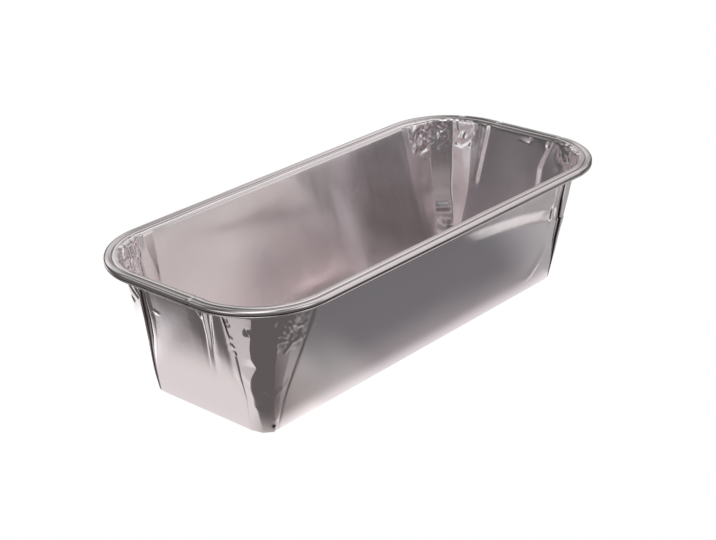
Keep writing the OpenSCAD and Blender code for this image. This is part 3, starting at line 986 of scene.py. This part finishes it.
# Painted light on the floor round the pan, seen only in the foil, with painted shade where no patch lies:
# middle, half sizes and width of the soft edge in millimetres, and colour
FLOOR_PATCHES = (
    ("foot_front", 3, 0, 88, 31.5, 7, (0.47, 0.46, 0.47)),
    ("near_front", 3, 0, 88, 34, 16, (0.15, 0.13, 0.13)),
    ("front", 25, -45, 70, 22, 30, (0.05, 0.06, 0.07)),
    ("front_left_foot", -54, -42, 12, 4, 22, (0.13, 0.13, 0.12)),
    ("front_left", -66, -62, 8, 10, 14, (0.14, 0.13, 0.13)),
    ("near_left", -90, 19, 20, 39, 19, (0.62, 0.60, 0.60)),
    ("left_back", -106, 66, 14, 15, 15, (0.36, 0.36, 0.37)),
    ("left_front", -142, -14, 20, 8, 9, (0.45, 0.44, 0.44)),
    ("back", 20, 150, 115, 88, 25, (0.87, 0.88, 0.87)),
    ("right", 160, 10, 40, 60, 50, (0.31, 0.31, 0.31)),
    ("front_right", 130, -94, 45, 10, 10, (0.75, 0.74, 0.74)),
)
# Painted shade: the floor's dim colour in the foil away from the painted light patches
FLOOR_BASE = (0.12, 0.11, 0.11)


def coloured(tree, mask, name, colour):
    """A colour scaled by a mask."""
    scale = tree.nodes.new("ShaderNodeVectorMath")
    scale.operation = "SCALE"
    scale.name = name
    scale.inputs[0].default_value = colour
    tree.links.new(mask, scale.inputs["Scale"])
    return scale.outputs[0]


def added(tree, base, parts):
    """The sum of some colours and a base colour."""
    total = None
    for part in parts:
        add = tree.nodes.new("ShaderNodeVectorMath")
        if total is None:
            add.inputs[0].default_value = base
        else:
            tree.links.new(total, add.inputs[0])
        tree.links.new(part, add.inputs[1])
        total = add.outputs[0]
    return total


def floor_light(tree):
    """The painted light and shade of the floor round the pan, as the foil reflects it."""
    place = tree.nodes.new("ShaderNodeTexCoord")
    split = tree.nodes.new("ShaderNodeSeparateXYZ")
    tree.links.new(place.outputs["Object"], split.inputs[0])
    parts = []
    for name, x, y, half_x, half_y, edge, colour in FLOOR_PATCHES:
        past = []
        for value, middle, half in zip(split.outputs, (x, y), (half_x, half_y)):
            off = math_node(tree, "ABSOLUTE", math_node(tree, "SUBTRACT", value, middle * MM))
            past.append(math_node(tree, "MAXIMUM", math_node(tree, "SUBTRACT", off, half * MM), 0))
        squares = [math_node(tree, "MULTIPLY", value, value) for value in past]
        away = math_node(tree, "SQRT", math_node(tree, "ADD", *squares))
        parts.append(coloured(tree, ramp_node(tree, away, 0, edge * MM, 1, 0), name, colour))
    return added(tree, FLOOR_BASE, parts)


def sky_light(tree):
    """The soft lights' colour in each direction."""
    way = tree.nodes.new("ShaderNodeTexCoord")
    parts = []
    for name, azimuth, elevation, spread, colour in SKY_LIGHTS:
        a, e = math.radians(azimuth), math.radians(elevation)
        dot = tree.nodes.new("ShaderNodeVectorMath")
        dot.operation = "DOT_PRODUCT"
        tree.links.new(way.outputs["Generated"], dot.inputs[0])
        dot.inputs[1].default_value = (math.cos(e) * math.cos(a), math.cos(e) * math.sin(a), math.sin(e))
        angle = math_node(tree, "ARCCOSINE", dot.outputs["Value"])
        mask = ramp_node(tree, angle, 0, math.radians(spread), 1, 0)
        parts.append(coloured(tree, mask, name, colour))
    return added(tree, SKY_BASE, parts)


def seen_or_reflected(tree, shader_type, light, out):
    """Plain white to the camera, and the given light in the foil."""
    seen = tree.nodes.new(shader_type)
    seen.inputs["Color"].default_value = (1, 1, 1, 1)
    glow = tree.nodes.new(shader_type)
    tree.links.new(light, glow.inputs["Color"])
    path = tree.nodes.new("ShaderNodeLightPath")
    mix = tree.nodes.new("ShaderNodeMixShader")
    tree.links.new(path.outputs["Is Camera Ray"], mix.inputs[0])
    tree.links.new(glow.outputs[0], mix.inputs[1])
    tree.links.new(seen.outputs[0], mix.inputs[2])
    tree.links.new(mix.outputs[0], out.inputs["Surface"])


# Half the floor's side, in metres
FLOOR_HALF = 3


def studio_floor(context):
    """A floor, plain white to the camera, that shows painted light and shade round the pan in the foil."""
    bm = bmesh.new()
    bmesh.ops.create_grid(bm, x_segments=2, y_segments=2, size=FLOOR_HALF)
    mesh = bpy.data.meshes.new("studio_floor")
    bm.to_mesh(mesh)
    bm.free()
    floor = bpy.data.objects.new("studio_floor", mesh)
    context.collection.objects.link(floor)
    material = bpy.data.materials.new("floor_with_painted_light")
    material.use_nodes = True
    tree = material.node_tree
    tree.nodes.clear()
    out = tree.nodes.new("ShaderNodeOutputMaterial")
    seen_or_reflected(tree, "ShaderNodeEmission", floor_light(tree), out)
    mesh.materials.append(material)


def studio_world(context):
    """Soft light from all round, plain white to the camera."""
    world = bpy.data.worlds.new("studio_world")
    context.scene.world = world
    world.use_nodes = True
    tree = world.node_tree
    tree.nodes.clear()
    out = tree.nodes.new("ShaderNodeOutputWorld")
    seen_or_reflected(tree, "ShaderNodeBackground", sky_light(tree), out)


class PAN_OT_stage(bpy.types.Operator):
    """Build the floor, the studio light and the camera"""
    bl_idname = "loaf_pan.stage"
    bl_label = "Stage"

    def execute(self, context):
        studio_camera(context)
        studio_floor(context)
        studio_world(context)
        context.scene.view_settings.view_transform = "Standard"
        return {"FINISHED"}


class PAN_PT_panel(bpy.types.Panel):
    """Sizes and operators of the loaf pan"""
    bl_label = "Foil Loaf Pan"
    bl_idname = "PAN_PT_panel"
    bl_space_type = "VIEW_3D"
    bl_region_type = "UI"
    bl_category = "Loaf Pan"

    def draw(self, context):
        for group in (context.scene.pan_sizes, context.scene.foil_finish):
            for name in group.bl_rna.properties.keys():
                if name not in ("rna_type", "name"):
                    self.layout.prop(group, name)
        for operator in (PAN_OT_sheet, PAN_OT_stage):
            self.layout.operator(operator.bl_idname)


CLASSES = (PanSizes, FoilFinish, PAN_OT_sheet, PAN_OT_stage, PAN_PT_panel)


def register():
    for cls in CLASSES:
        bpy.utils.register_class(cls)
    bpy.types.Scene.pan_sizes = PointerProperty(type=PanSizes)
    bpy.types.Scene.foil_finish = PointerProperty(type=FoilFinish)


def unregister():
    del bpy.types.Scene.foil_finish
    del bpy.types.Scene.pan_sizes
    for cls in reversed(CLASSES):
        bpy.utils.unregister_class(cls)


def main():
    register()
    bpy.ops.loaf_pan.sheet()
    bpy.ops.loaf_pan.stage()


if __name__ == "__main__":
    main()
